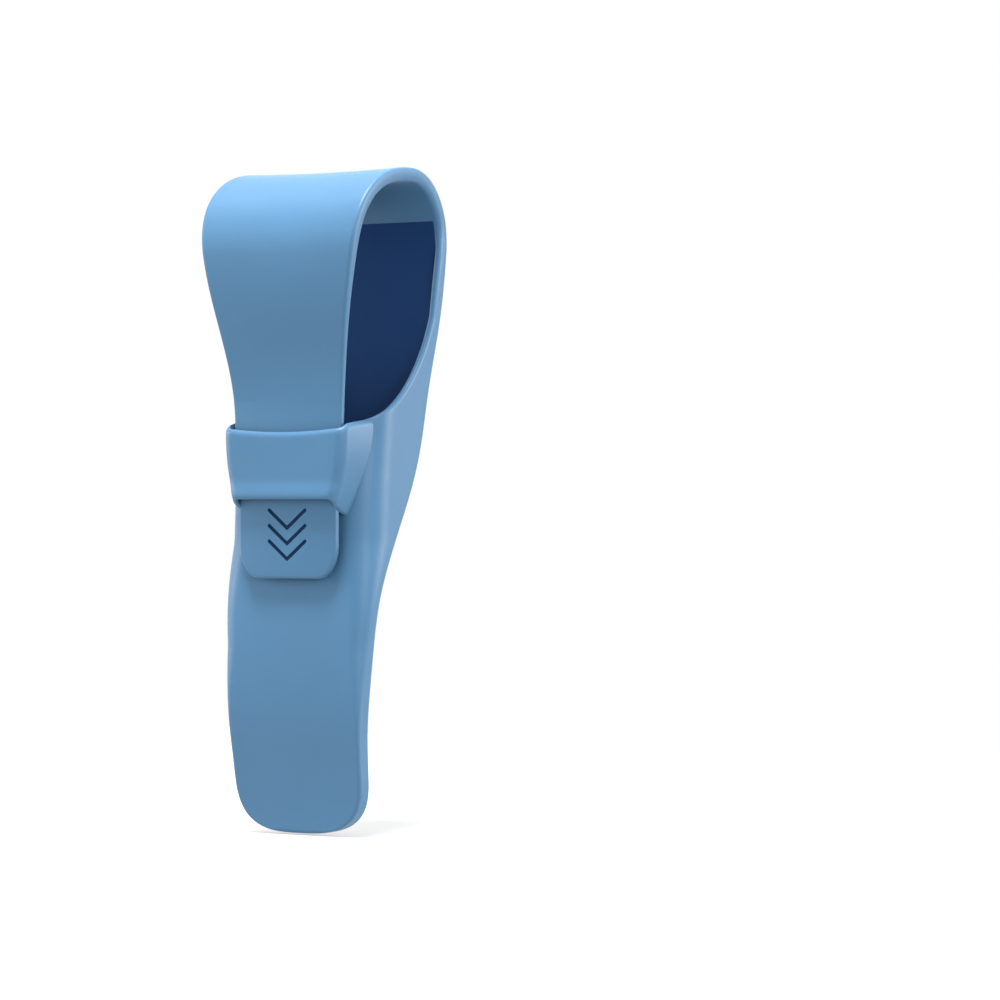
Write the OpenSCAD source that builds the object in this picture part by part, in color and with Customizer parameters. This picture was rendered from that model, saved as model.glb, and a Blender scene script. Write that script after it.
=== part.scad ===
// Strap-closed silicone sheath: one soft moulding, drawn as its functional regions.
// A flat closed pouch deepens upward to a swept mouth. Its back wall runs on as a wide
// hood that folds over a moulded crease, comes down the front as a narrowing strap,
// slides behind a keeper band and ends in a pull tab.
// Heights below are measured up from the toe. The finished part is moved so that its
// origin is the highest point inside the hood, where a peg would carry it.
// X is across the sheath, -Y is the strap side, +Z is up.

/* [Sheath] */
// Height from the toe to the top of the hood
sheath_h = 172; // [150:1:210]
// Height of the front rim of the pouch
mouth_h = 107; // [88:1:115]
// Height of the slim lower part of the pouch
slim_h = 45; // [36:1:54]
// Room between the working faces of pieces that move past each other
run_gap = 0.35; // [0.25:0.05:0.6]

/* [Pouch] */
// Width of the pouch at the mouth
pouch_w = 46; // [38:0.5:56]
// Width of the pouch at the top of the rounded toe
toe_w = 39; // [33:0.5:47]
// Height of the rounded toe
toe_h = 17; // [14:0.5:21]
// Thickness of the closed toe, front to back
toe_t = 5.2; // [4.6:0.1:6.4]
// Depth of the pouch at the mouth, front wall to back wall
mouth_d = 26; // [21:0.5:32]
// Wall thickness of the pouch
wall = 1.8; // [1.4:0.1:2.2]
// How far the side rims sweep up the back above the mouth
rim_rise = 43; // [34:1:52]

/* [Hood and strap] */
// Width of the hood
hood_w = 49.2; // [41:0.2:59]
// Depth of the hood from its front to its back, between wall centres
hood_d = 42.5; // [35:0.5:51]
// Share of the hood depth that lies in front of the crown
crown_share = 0.61; // [0.5:0.01:0.66]
// Height of the rounded front of the hood
brow_h = 22; // [18:0.5:26]
// Height of the rounded back of the hood
nape_h = 18.5; // [16:0.5:22]
// Wall thickness of the hood
hood_t = 3.6; // [3:0.1:4.4]
// Width of the strap above the keeper
strap_w = 32.8; // [27:0.2:34]
// Thickness of the strap
strap_t = 1.7; // [1.4:0.1:2]
// Distance of the moulded crease below the crown
crease_drop = 12; // [10:0.5:14.5]

/* [Keeper] */
// Height of the keeper band at the front
keeper_h = 17.5; // [14:0.5:21]
// Wall thickness of the keeper
keeper_wall = 1.3; // [1:0.1:1.6]
// Room in front of the strap inside the keeper
keeper_gap = 1.2; // [0.9:0.05:1.5]
// Room beside the strap inside the keeper
keeper_side_gap = 1.1; // [0.8:0.1:1.5]

/* [Pull tab] */
// Width of the pull tab
tab_w = 29.8; // [24.8:0.2:32]
// Length of the pull tab below the keeper
tab_len = 21; // [17.5:0.5:25]
// Thickness of the pull tab
tab_t = 2; // [1.7:0.1:2.4]
// Radius of the lower corners of the tab
tab_r = 7.5; // [6:0.5:9]
// Number of chevron grooves in the tab
chevrons = 3; // [1:1:4]
// Spacing of the chevron grooves
chevron_pitch = 4; // [3.4:0.1:4.8]
// Width of a chevron groove
groove_w = 0.95; // [0.8:0.05:1.1]
// Depth of a chevron groove
groove_d = 0.6; // [0.4:0.05:0.8]

/* [Hidden] */

silicone = [0.40, 0.58, 0.72];
silicone_dark = [0.34, 0.52, 0.67];
silicone_light = [0.47, 0.65, 0.79];
slice_t = 0.3;                                   // thickness of one slice of a lofted shape
arc_fn = 28;
far = 200;

// Places that follow from the sizes above
strap_y = 0.3;                                   // centre plane of the strap in the keeper
hood_front_y = strap_y - 4.5;                    // centre of the hood wall where it bulges most
crown_z = sheath_h - hood_t / 2;
hood_fwd = hood_d * crown_share;
hood_back = hood_d - hood_fwd;
crown_y = hood_front_y + hood_fwd;
front_centre_z = crown_z - brow_h;               // below this the front runs straight down
back_centre_z = crown_z - nape_h;                // below this the back runs straight down
drop = front_centre_z - mouth_h;                 // height over which the strap runs back in
hang_z = sheath_h - hood_t;
crease_z = sheath_h - crease_drop;
crease_q = asin((crease_z - back_centre_z) / nape_h);
back_y = crown_y + hood_back + hood_t / 2;       // back face of the hood
front_wall_y = strap_y + 3;                      // front face of the pouch behind the tab
tab_bottom_z = mouth_h - 2.6 - keeper_h - tab_len;
keeper_top_z = mouth_h - 2.6;
keeper_bottom_z = keeper_top_z - keeper_h;

function blend(a, b, t) = a + (b - a) * (1 - cos(180 * min(1, max(0, t)))) / 2;
function part_way(z, z0, z1) = (z - z0) / (z1 - z0);

// ---------------------------------------------------------------- pouch sections
// A section is [half width, front y, back y, front corner radius, back corner radius].
// The toe closes on a full curve in the front view and a small one in the side view.
toe_square = 3;                                  // 2 would be a true ellipse
function toe_round(z) = z >= toe_h
    ? 1
    : pow(1 - pow(1 - max(z, 0.1) / toe_h, toe_square), 1 / toe_square);
function edge_round(z, r) = z >= r ? 0 : r - sqrt(pow(r, 2) - pow(r - z, 2));
function half_width(z) = toe_round(z) * (z < mouth_h
    ? blend(toe_w / 2, pouch_w / 2, part_way(z, toe_h * 0.6, mouth_h * 0.7))
    : blend(pouch_w / 2, hood_half(crease_z), part_way(z, mouth_h, crease_z)));
function front_y(z) = edge_round(z, toe_t * 0.66) + (z < slim_h
    ? blend(front_wall_y + 1.5, front_wall_y - 2.4, part_way(z, 0, slim_h * 0.85))
    : z < keeper_bottom_z
    ? blend(front_wall_y - 2.4, front_wall_y, part_way(z, slim_h, keeper_bottom_z - 4))
    : blend(front_wall_y, front_wall_y + 2.6, part_way(z, keeper_bottom_z - 4, mouth_h + 4)));
mouth_back_y = front_wall_y + 2 + mouth_d;
function back_face_y(z) = -edge_round(z, toe_t * 0.22) + (z < slim_h
    ? blend(front_wall_y + 1.5 + toe_t, front_wall_y - 2.4 + toe_t * 1.22, part_way(z, 0, slim_h * 0.7))
      + blend(0, 1.2, part_way(z, slim_h * 0.75, slim_h))
    : blend(front_wall_y - 1.2 + toe_t * 1.22, mouth_back_y, part_way(z, slim_h + 6, mouth_h + 1))
      + blend(0, back_y - mouth_back_y, part_way(z, mouth_h - 8, back_centre_z - 6)));
function arch_back_y(z) = z < back_centre_z ? back_face_y(z)
    : crown_y + (hood_back + hood_t / 2) * cos(asin((z - back_centre_z) / (nape_h + hood_t / 2)));
function depth_at(z) = arch_back_y(z) - front_y(z);
function growth(z) = part_way(z, toe_h, mouth_h * 0.7);
function front_r(z) = max(0.6, min(depth_at(z) - 1.7, toe_round(z) * blend(1.4, 8.8, growth(z))));
function back_r(z) = max(0.6, min(depth_at(z) * 0.3, blend(1.2, 3.2, growth(z))));
function wall_at(z) = blend(wall, hood_t, part_way(z, mouth_h - 10, crease_z - 12));
function section(z) = [half_width(z), front_y(z), arch_back_y(z), front_r(z), back_r(z)];

toe_rings = [0, 0.5, 1.2, 2, 3, 4.4, 6.5, 9.5, 13, 17];
ring_count = 22;
function ring_z(i) = i < len(toe_rings) ? toe_rings[i] * toe_h / 17
    : toe_h + (crease_z - toe_h) * (i - len(toe_rings) + 1) / ring_count;
last_ring = len(toe_rings) + ring_count - 1;

module corner(x, y, r) {
    translate([x, y]) circle(r = r, $fn = arc_fn);
}

// One flat slice of the pouch, drawn in by inset all round
module slice(z, inset) {
    s = section(z);
    rf = max(0.3, s[3] - inset);
    rb = max(0.3, s[4] - inset);
    hw = max(0.5, s[0] - inset);
    translate([0, 0, z]) linear_extrude(slice_t) hull() {
        for (side = [-1, 1]) {
            corner(side * (hw - min(rf, hw)), s[1] + inset + min(rf, hw), min(rf, hw));
            corner(side * (hw - min(rb, hw)), s[2] - inset - min(rb, hw), min(rb, hw));
        }
    }
}

module pouch_outside() {
    for (i = [0 : last_ring - 1]) {
        hull() {
            slice(ring_z(i), 0);
            slice(ring_z(i + 1), 0);
        }
    }
}

// The cavity starts one wall above the toe and runs out through the mouth
cavity_start = 4;
module pouch_inside() {
    for (i = [cavity_start : last_ring - 1]) {
        hull() {
            slice(ring_z(i), wall_at(ring_z(i)));
            slice(ring_z(i + 1), wall_at(ring_z(i + 1)));
        }
    }
    hull() {
        slice(crease_z, hood_t);
        translate([0, 0, 1]) slice(crease_z, hood_t);
    }
}

// Side view of everything above the rim: the rim leaves the front wall and sweeps up
// the back on a full quarter curve, leaving a curled edge down each side of the tongue
rim_front_y = front_wall_y + 1.5;
rim_reach = back_y - 5.4 - rim_front_y;
function rim_y(a) = rim_front_y + rim_reach * (sin(a) - sin(rim_start)) / (1 - sin(rim_start));
function rim_z(a) = mouth_h + rim_rise * (1 - cos(a) / cos(rim_start));
rim_start = 10;
module above_rim() {
    rim = [for (a = [rim_start : 8 : 90]) [rim_y(a), rim_z(a)]];
    across() polygon(concat([[-far, mouth_h]], rim,
        [[back_y - 5.2, crease_z + 1], [back_y - 5.2, far * 2], [-far, far * 2]]));
}

// Stretches a side view (y, z) across the whole width
module across(w = far) {
    rotate([90, 0, 90]) linear_extrude(w, center = true) children();
}

module block(x0, x1, y0, y1, z0, z1) {
    translate([x0, y0, z0]) cube([x1 - x0, y1 - y0, z1 - z0]);
}

module pouch_shell() {
    difference() {
        pouch_outside();
        pouch_inside();
        above_rim();
        hinge_hollow(0);
    }
}

// Seams between the regions of the pouch
seam_x = 13;
seam_z = toe_h + 5;
function seam_y(z) = (front_y(z) + arch_back_y(z)) / 2;
module behind_middle() {
    across() polygon(concat([for (i = [4 : last_ring]) [seam_y(ring_z(i)), ring_z(i)]],
        [[seam_y(crease_z), far], [far, far], [far, toe_h]]));
}

module toe_cap() {
    color(silicone_dark) place() intersection() {
        pouch_shell();
        block(-far, far, -far, far, -1, seam_z);
    }
}

module front_panel() {
    color(silicone) place() difference() {
        intersection() {
            pouch_shell();
            block(-seam_x, seam_x, -far, far, seam_z, mouth_h + 12);
        }
        behind_middle();
    }
}

module back_panel() {
    color(silicone_dark) place() intersection() {
        pouch_shell();
        block(-seam_x, seam_x, -far, far, seam_z, mouth_h);
        behind_middle();
    }
}

module side_wall() {
    intersection() {
        pouch_shell();
        block(seam_x, far, -far, far, seam_z, mouth_h);
    }
}

// The left side is the right side mirrored
module left_wall() {
    color(silicone_light) place() mirror([1, 0, 0]) side_wall();
}

module right_wall() {
    color(silicone_light) place() side_wall();
}

module tongue() {
    color(silicone) place() intersection() {
        pouch_shell();
        block(-seam_x, seam_x, -far, far, mouth_h, crease_z);
        behind_middle();
    }
}

module wing() {
    intersection() {
        pouch_shell();
        block(seam_x, far, -far, far, mouth_h, crease_z);
    }
}

module left_wing() {
    color(silicone_light) place() mirror([1, 0, 0]) wing();
}

module right_wing() {
    color(silicone_light) place() wing();
}

// ---------------------------------------------------------------- keeper band
keeper_inner_y = strap_y - strap_t / 2 - keeper_gap;
keeper_front_y = keeper_inner_y - keeper_wall;
keeper_top_half = strap_w / 2 + keeper_side_gap + keeper_wall + 0.4;
keeper_low_half = tab_w / 2 + keeper_side_gap + keeper_wall + 0.2;
keeper_tip_z = keeper_bottom_z - 4.6;
keeper_r = 2.6;
web_root_y = front_wall_y + 12;
web_root_r = 1;
function keeper_half(z) = keeper_low_half
    + (keeper_top_half - keeper_low_half) * part_way(z, keeper_bottom_z, keeper_top_z);

module keeper_slice(z, inset) {
    hw = keeper_half(z) - inset;
    r = keeper_r - inset;
    translate([0, 0, z]) linear_extrude(slice_t) hull() {
        for (side = [-1, 1]) {
            corner(side * (hw - r), keeper_front_y + inset + r, r);
            corner(side * (hw + 0.2), web_root_y, web_root_r);
        }
    }
}

module keeper_block(inset) {
    hull() {
        keeper_slice(keeper_tip_z - 2, inset);
        keeper_slice(mouth_h + 3, inset);
    }
}

// Side view of the band: level lips at the front, webs running up to the rim and
// down to a point on the pouch
module keeper_side_view() {
    polygon([
        [keeper_front_y - 1, keeper_bottom_z],
        [strap_y + 0.6, keeper_bottom_z],
        [strap_y + 2, keeper_bottom_z - 1],
        [front_wall_y + 0.4, keeper_tip_z + 0.4],
        [front_wall_y + 2.4, keeper_tip_z],
        [front_wall_y + 8, mouth_h + 0.6],
        [front_wall_y + 3.2, mouth_h - 0.9],
        [front_wall_y, mouth_h - 2.1],
        [strap_y, keeper_top_z],
        [keeper_front_y - 1, keeper_top_z]]);
}

module keeper_band() {
    difference() {
        intersection() {
            keeper_block(0);
            across() keeper_side_view();
        }
        keeper_block(keeper_wall);
    }
}

keeper_seam_y = keeper_front_y + keeper_r;
module keeper_front() {
    color(silicone) place() intersection() {
        keeper_band();
        block(-far, far, -far, keeper_seam_y, 0, far);
    }
}

module keeper_web() {
    difference() {
        intersection() {
            keeper_band();
            block(0, far, keeper_seam_y, far, 0, far);
        }
        pouch_outside();
    }
}

module keeper_left_web() {
    color(silicone_light) place() mirror([1, 0, 0]) keeper_web();
}

module keeper_right_web() {
    color(silicone_light) place() keeper_web();
}

// ---------------------------------------------------------------- hood and strap
// A station q runs along the strap: degrees round the hood, 0 at the back and 180 at the
// front, and past 180 the millimetres below the front of the hood
hood_square = 2.25;                              // 2 would be a true ellipse
function path(q) = q <= 90
    ? [crown_y + hood_back * cos(q), back_centre_z + nape_h * sin(q)]
    : q <= 180
    ? [
        crown_y - hood_fwd * pow(-cos(q), 2 / hood_square),
        front_centre_z + brow_h * pow(sin(q), 2 / hood_square)
    ]
    : [blend(hood_front_y, strap_y, (q - 180) / drop), front_centre_z - (q - 180)];
function along(q) = path(q + 0.5) - path(q - 0.5);
function outward(q) = [-along(q)[1], along(q)[0]] / norm(along(q)) * -1;
function thick(q) = blend(hood_t, strap_t, part_way(q, 165, 180 + drop));
function hood_half(z) = blend(strap_w / 2, hood_w / 2, part_way(z, mouth_h - 4, sheath_h - 4));
function strap_half(z) = z > mouth_h - 4 ? hood_half(z)
    : blend(tab_w / 2, strap_w / 2, part_way(z, keeper_bottom_z, mouth_h - 4));

// Stations of the nine flex lines, from the moulded crease to the strap in the keeper
flex_q = [crease_q, 52, 100, 165, 180 + drop * 0.08, 180 + drop * 0.31, 180 + drop * 0.54,
    180 + drop * 0.77, 180 + drop];
end_q = 180 + front_centre_z - keeper_bottom_z + 1;
piece_count = len(flex_q);
function piece_end(i) = i + 1 < piece_count ? flex_q[i + 1] : end_q;

function side_points(q0, q1, sign, n) = [for (k = [0 : n])
    let (q = q0 + (q1 - q0) * k / n)
    path(q) + sign * outward(q) * thick(q) / 2];
function reversed(list) = [for (k = [len(list) - 1 : -1 : 0]) list[k]];

module band(q0, q1) {
    band_steps = q0 < 180 + drop ? 10 : 1;
    polygon(concat(side_points(q0, q1, 1, band_steps), reversed(side_points(q0, q1, -1, band_steps))));
}

module flex_round(i, extra = 0) {
    translate(path(flex_q[i])) circle(r = thick(flex_q[i]) / 2 + extra, $fn = 48);
}

// The hollow end that the rounded end of piece i turns in
module hinge_hollow(i) {
    across() flex_round(i, run_gap);
}

outline_steps = 16;
module strap_outline() {
    low = keeper_bottom_z - 2;
    right = [for (k = [0 : outline_steps])
        let (z = low + (sheath_h - low) * k / outline_steps)
        [strap_half(z), z]];
    left = [for (p = reversed(right)) [-p[0], p[1]]];
    rotate([90, 0, 0]) linear_extrude(far, center = true) polygon(concat(right,
        [[hood_w / 2, sheath_h + 1], [-hood_w / 2, sheath_h + 1]], left));
}

module strap_piece(i) {
    intersection() {
        across() difference() {
            union() {
                band(flex_q[i], piece_end(i));
                flex_round(i);
            }
            if (i + 1 < piece_count) flex_round(i + 1, run_gap);
        }
        strap_outline();
    }
}

module hood_rear() {
    color(silicone) place() strap_piece(0);
}

module hood_crown() {
    color(silicone_light) place() strap_piece(1);
}

module hood_front() {
    color(silicone) place() strap_piece(2);
}

module strap_brow() {
    color(silicone_dark) place() strap_piece(3);
}

module strap_upper() {
    color(silicone) place() strap_piece(4);
}

module strap_middle() {
    color(silicone_dark) place() strap_piece(5);
}

module strap_lower() {
    color(silicone) place() strap_piece(6);
}

module strap_neck() {
    color(silicone_dark) place() strap_piece(7);
}

module strap_end() {
    color(silicone) place() strap_piece(8);
}

// The tab is a rounded plate with chevron grooves pointing down
chevron_half = 5.5;
chevron_fall = 4.6;
chevron_top = 3.4;
module groove(p, q) {
    d = q - p;
    translate(p) rotate(atan2(d[1], d[0])) translate([0, -groove_w / 2]) square([norm(d), groove_w]);
    translate(p) circle(d = groove_w, $fn = 24);
    translate(q) circle(d = groove_w, $fn = 24);
}

module tab_outline() {
    top = keeper_bottom_z - 1;
    translate([-tab_w / 2, tab_bottom_z + tab_r]) square([tab_w, top - tab_bottom_z - tab_r]);
    translate([-tab_w / 2 + tab_r, tab_bottom_z]) square([tab_w - 2 * tab_r, tab_r + 1]);
    for (side = [-1, 1]) {
        translate([side * (tab_w / 2 - tab_r), tab_bottom_z + tab_r]) circle(r = tab_r, $fn = 64);
    }
}

module pull_tab() {
    tab_front_y = strap_y - tab_t / 2;
    color(silicone_light) place() difference() {
        translate([0, tab_front_y + tab_t, 0]) rotate([90, 0, 0]) linear_extrude(tab_t) tab_outline();
        translate([0, tab_front_y + groove_d, 0]) rotate([90, 0, 0]) linear_extrude(groove_d + 1) {
            for (k = [0 : chevrons - 1]) {
                top = keeper_bottom_z - chevron_top - chevron_pitch * k;
                groove([-chevron_half, top], [0, top - chevron_fall]);
                groove([chevron_half, top], [0, top - chevron_fall]);
            }
        }
    }
}

// Puts the origin at the highest point inside the hood
module place() {
    translate([0, -crown_y, -hang_z]) children();
}

toe_cap();
front_panel();
back_panel();
left_wall();
right_wall();
tongue();
left_wing();
right_wing();
keeper_front();
keeper_left_web();
keeper_right_web();
hood_rear();
hood_crown();
hood_front();
strap_brow();
strap_upper();
strap_middle();
strap_lower();
strap_neck();
strap_end();
pull_tab();
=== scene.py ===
# %% [markdown]
# # A strap-closed silicone sheath
# The object is one soft moulding. A flat pouch deepens upward to a swept mouth. Its back wall
# runs on as a wide hood that folds over forwards, narrows to a strap, tucks behind a keeper
# band and ends in a pull tab. The CAD model gives the sizes and the way it moves. This file
# gives it one continuous skin, with soft lips and rounded edges, in a matt blue silicone.

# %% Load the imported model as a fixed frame
import math

import bmesh
import bpy
import numpy as np
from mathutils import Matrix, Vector


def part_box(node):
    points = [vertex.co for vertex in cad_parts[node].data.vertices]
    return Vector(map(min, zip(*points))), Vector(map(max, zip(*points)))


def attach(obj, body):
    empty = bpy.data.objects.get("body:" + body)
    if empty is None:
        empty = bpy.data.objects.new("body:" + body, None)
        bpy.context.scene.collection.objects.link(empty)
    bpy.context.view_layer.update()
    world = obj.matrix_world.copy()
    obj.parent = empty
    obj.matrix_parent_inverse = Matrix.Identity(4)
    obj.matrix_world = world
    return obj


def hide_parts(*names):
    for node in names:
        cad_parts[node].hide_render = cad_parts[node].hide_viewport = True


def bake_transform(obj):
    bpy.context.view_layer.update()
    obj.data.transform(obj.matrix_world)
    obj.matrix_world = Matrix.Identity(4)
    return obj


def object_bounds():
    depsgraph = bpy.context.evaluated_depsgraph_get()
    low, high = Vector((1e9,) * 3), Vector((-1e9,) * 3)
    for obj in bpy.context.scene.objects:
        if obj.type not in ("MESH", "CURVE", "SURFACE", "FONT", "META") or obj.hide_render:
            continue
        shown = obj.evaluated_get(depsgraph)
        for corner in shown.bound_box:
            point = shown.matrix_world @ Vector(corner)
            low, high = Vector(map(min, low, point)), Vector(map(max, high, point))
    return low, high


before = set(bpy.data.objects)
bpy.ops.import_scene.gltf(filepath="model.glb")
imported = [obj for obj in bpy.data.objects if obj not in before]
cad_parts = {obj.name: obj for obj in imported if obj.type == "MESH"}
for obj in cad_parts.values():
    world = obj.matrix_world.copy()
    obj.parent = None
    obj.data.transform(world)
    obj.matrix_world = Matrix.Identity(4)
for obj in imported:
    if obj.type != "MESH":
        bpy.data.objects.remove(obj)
cad_low, cad_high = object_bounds()
print("CAD box", [round(v, 4) for v in cad_low], [round(v, 4) for v in cad_high])

# %% [markdown]
# ## Driving sizes
# All shapes are worked out in millimetres, with heights measured up from the toe, because that
# is how a maker would read them off the object. `place` turns such a point into the row frame,
# in metres. The overall sizes come from the frame, and the rest are the design's own values.

# %% Sizes, in millimetres
MM = 1000
sheath_h = (cad_high.z - cad_low.z) * MM
hang_z = -cad_low.z * MM
hood_w = (cad_high.x - cad_low.x) * MM
tab_low, tab_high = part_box("pull_tab")
tab_w = (tab_high.x - tab_low.x) * MM
tab_t = (tab_high.y - tab_low.y) * MM
tab_bottom_z = tab_low.z * MM + hang_z
mouth_h, slim_h = 107, 45
pouch_w, toe_w, toe_h, toe_t = 46, 39, 17, 5.2
mouth_d, wall, rim_rise = 26, 1.8, 43
hood_d, crown_share, brow_h, nape_h, hood_t = 42.5, 0.61, 22, 18.5, 3.6
strap_w, strap_t, strap_y = 32.8, 1.7, 0.3
crease_z = sheath_h - 12
keeper_top_z, keeper_bottom_z, keeper_wall = 104.4, 86.9, 1.3
keeper_slack = 1.2
keeper_front_y = strap_y - strap_t / 2 - keeper_slack - keeper_wall

# Places that follow from them
CROWN_SAG = 0.3
BROW_SWELL = 4.5
STRAP_TO_POUCH = 3
MOUTH_SET_BACK = 2
crown_z = sheath_h - hood_t / 2 - CROWN_SAG
hood_fwd = hood_d * crown_share
hood_back = hood_d - hood_fwd
hood_front_y = strap_y - BROW_SWELL
crown_y = hood_front_y + hood_fwd
front_centre_z = crown_z - brow_h
back_centre_z = crown_z - nape_h
drop = front_centre_z - mouth_h
back_y = crown_y + hood_back + hood_t / 2
front_wall_y = strap_y + STRAP_TO_POUCH
mouth_back_y = front_wall_y + MOUTH_SET_BACK + mouth_d


def place(x, y, z):
    """A point in millimetres above the toe, as a point in the row frame."""
    return Vector((x, y - crown_y, z - hang_z)) / MM


def part_way(z, z0, z1):
    """How far z is from z0 to z1, as a share."""
    return (z - z0) / (z1 - z0)


def ease(a, b, t):
    """From a to b, with a soft start and a soft end."""
    t = min(1.0, max(0.0, t))
    return a + (b - a) * (1 - math.cos(math.pi * t)) / 2


print("sheath", round(sheath_h, 1), "mm tall, hood", round(hood_w, 1), "mm wide")

# %% [markdown]
# ## Silicone
# Moulded silicone is matt with a faint bloom: a wide soft highlight, a little light passing
# just under the skin, and a very fine grain from the mould. One function makes the outside
# material and two darker copies of it, so they stay one family. The copies are painted shade
# without the bloom: one for the inside of the pouch and of the hood by the crease, one for the
# cut grooves. The colour drifts by a few per cent over the piece, and the grain is a bump far
# smaller than a millimetre.

# %% The silicone material, and its darker copies that paint shade
def silicone(name, colour, drift, roughness, grain, bloom=0.12):
    """A matt silicone material: the colour drifts by a share, the grain is a bump, the bloom is a sheen."""
    material = bpy.data.materials.new(name)
    material.use_nodes = True
    nodes, links = material.node_tree.nodes, material.node_tree.links
    shader = nodes["Principled BSDF"]
    shader.inputs["Subsurface Weight"].default_value = 0.12
    shader.inputs["Subsurface Radius"].default_value = (0.6, 0.9, 1.2)
    shader.inputs["Subsurface Scale"].default_value = 0.0012
    shader.inputs["Sheen Weight"].default_value = bloom
    shader.inputs["Sheen Roughness"].default_value = 0.45
    shader.inputs["Sheen Tint"].default_value = (0.75, 0.88, 1.0, 1.0)
    shader.inputs["IOR"].default_value = 1.41
    shader.inputs["Specular IOR Level"].default_value = 0.38 if bloom else 0.15
    where = nodes.new("ShaderNodeTexCoord")

    broad = nodes.new("ShaderNodeTexNoise")
    broad.inputs["Scale"].default_value = 28
    broad.inputs["Detail"].default_value = 3
    links.new(where.outputs["Object"], broad.inputs["Vector"])
    tint = nodes.new("ShaderNodeValToRGB")
    tint.color_ramp.elements[0].position = 0.32
    tint.color_ramp.elements[1].position = 0.68
    tint.color_ramp.elements[0].color = [c * (1 - drift) for c in colour] + [1]
    tint.color_ramp.elements[1].color = [c * (1 + drift) for c in colour] + [1]
    links.new(broad.outputs["Fac"], tint.inputs["Fac"])
    links.new(tint.outputs["Color"], shader.inputs["Base Color"])

    cloud = nodes.new("ShaderNodeTexNoise")
    cloud.inputs["Scale"].default_value = 180
    cloud.inputs["Detail"].default_value = 4
    links.new(where.outputs["Object"], cloud.inputs["Vector"])
    gloss = nodes.new("ShaderNodeMapRange")
    gloss.inputs["To Min"].default_value = roughness - 0.06
    gloss.inputs["To Max"].default_value = roughness + 0.06
    links.new(cloud.outputs["Fac"], gloss.inputs["Value"])
    links.new(gloss.outputs["Result"], shader.inputs["Roughness"])

    fine = nodes.new("ShaderNodeTexNoise")
    fine.inputs["Scale"].default_value = 2600
    fine.inputs["Detail"].default_value = 2
    links.new(where.outputs["Object"], fine.inputs["Vector"])
    bump = nodes.new("ShaderNodeBump")
    bump.inputs["Strength"].default_value = grain
    bump.inputs["Distance"].default_value = 0.00003
    links.new(fine.outputs["Fac"], bump.inputs["Height"])
    links.new(bump.outputs["Normal"], shader.inputs["Normal"])
    return material


outside = silicone("blue_silicone", (0.037, 0.110, 0.200), 0.03, 0.44, 0.25)
# A darker copy without bloom: painted shade for the inside of the pouch and of the hood by the crease.
painted_inside_shade = silicone("blue_silicone_painted_inside_shade", (0.004, 0.028, 0.098), 0.06, 0.7, 0.2, 0.0)
# A darker copy again: painted shade for the walls of the chevron grooves.
painted_groove_shade = silicone("blue_silicone_painted_groove_shade", (0.004, 0.028, 0.075), 0.02, 0.7, 0.1, 0.0)
print("materials", [m.name for m in (outside, painted_inside_shade, painted_groove_shade)])

# %% [markdown]
# ## Turning points into a piece
# Each piece is built as rows of points that are stitched into quads. The helper collects the
# points and faces, turns the faces outwards, makes the mesh smooth and counts its open edges,
# which should be none.

# %% Mesh builder
class Skin:
    """Points in millimetres and faces with a material slot, which become one mesh; slot 1 holds painted
    shade where a piece has it.
    """

    def __init__(self):
        self.points = []
        self.faces = []
        self.colour_and_shade_slot = []

    def add(self, point):
        self.points.append(point)
        return len(self.points) - 1

    def row(self, points):
        return [self.add(p) for p in points]

    def face(self, corners, colour_and_shade_slot=0):
        corners = [c for i, c in enumerate(corners) if c != corners[i - 1]]
        if len(corners) > 2:
            self.faces.append(corners)
            self.colour_and_shade_slot.append(colour_and_shade_slot)

    def stitch(self, a, b, closed=False, colour_and_shade_slot=0):
        """Quads between two rows of the same length."""
        n = len(a)
        for i in range(n if closed else n - 1):
            j = (i + 1) % n
            self.face([a[i], a[j], b[j], b[i]], colour_and_shade_slot)

    def build(self, name, materials):
        mesh = bpy.data.meshes.new(name)
        mesh.from_pydata([place(*p) for p in self.points], [], self.faces)
        mesh.polygons.foreach_set("material_index", self.colour_and_shade_slot)
        for material in materials:
            mesh.materials.append(material)
        work = bmesh.new()
        work.from_mesh(mesh)
        bmesh.ops.remove_doubles(work, verts=work.verts, dist=1e-6)
        bmesh.ops.dissolve_degenerate(work, edges=work.edges, dist=1e-7)
        bmesh.ops.recalc_face_normals(work, faces=work.faces)
        open_edges = sum(1 for e in work.edges if not e.is_manifold)
        work.to_mesh(mesh)
        work.free()
        mesh.shade_smooth()
        mesh.set_sharp_from_angle(angle=math.radians(50))
        piece = bpy.data.objects.new(name, mesh)
        bpy.context.scene.collection.objects.link(piece)
        print(name, len(mesh.polygons), "faces,", open_edges, "open edges")
        return piece


def lip(a, b, out, steps, depth, square=2.4):
    """Points round a soft edge from a to b, standing `depth` proud along `out`."""
    a, b, out = (np.array(v, float) for v in (a, b, out))
    middle, half = (a + b) / 2, (a - b) / 2
    found = []
    for k in range(1, steps):
        angle = math.pi * k / steps
        across = math.copysign(abs(math.cos(angle)) ** (2 / square), math.cos(angle))
        found.append(tuple(middle + half * across + out * depth * math.sin(angle) ** (2 / square)))
    return found


# %% [markdown]
# ## The path of the hood and strap
# The band follows an arc over the top and then runs down the front. Its width, its thickness
# and the curl of its side edges all change along the way, so each is a function of one
# station: degrees round the hood, and beyond 180 the millimetres down the front. A bevelled
# curve could follow this path too, but it keeps one profile, and this band's profile changes.

# %% Stations along the hood and strap
HOOD_SQUARE = 2.25
NAPE_FLEX, CROWN_FLEX, BROW_FLEX = 52, 100, 165
STRAP_FLEXES = (0.08, 0.31, 0.54, 0.77, 1)
SHOULDER_DROP = 4
CURL = 0.5
crease_q = math.degrees(math.asin((crease_z - back_centre_z) / nape_h))


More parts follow.
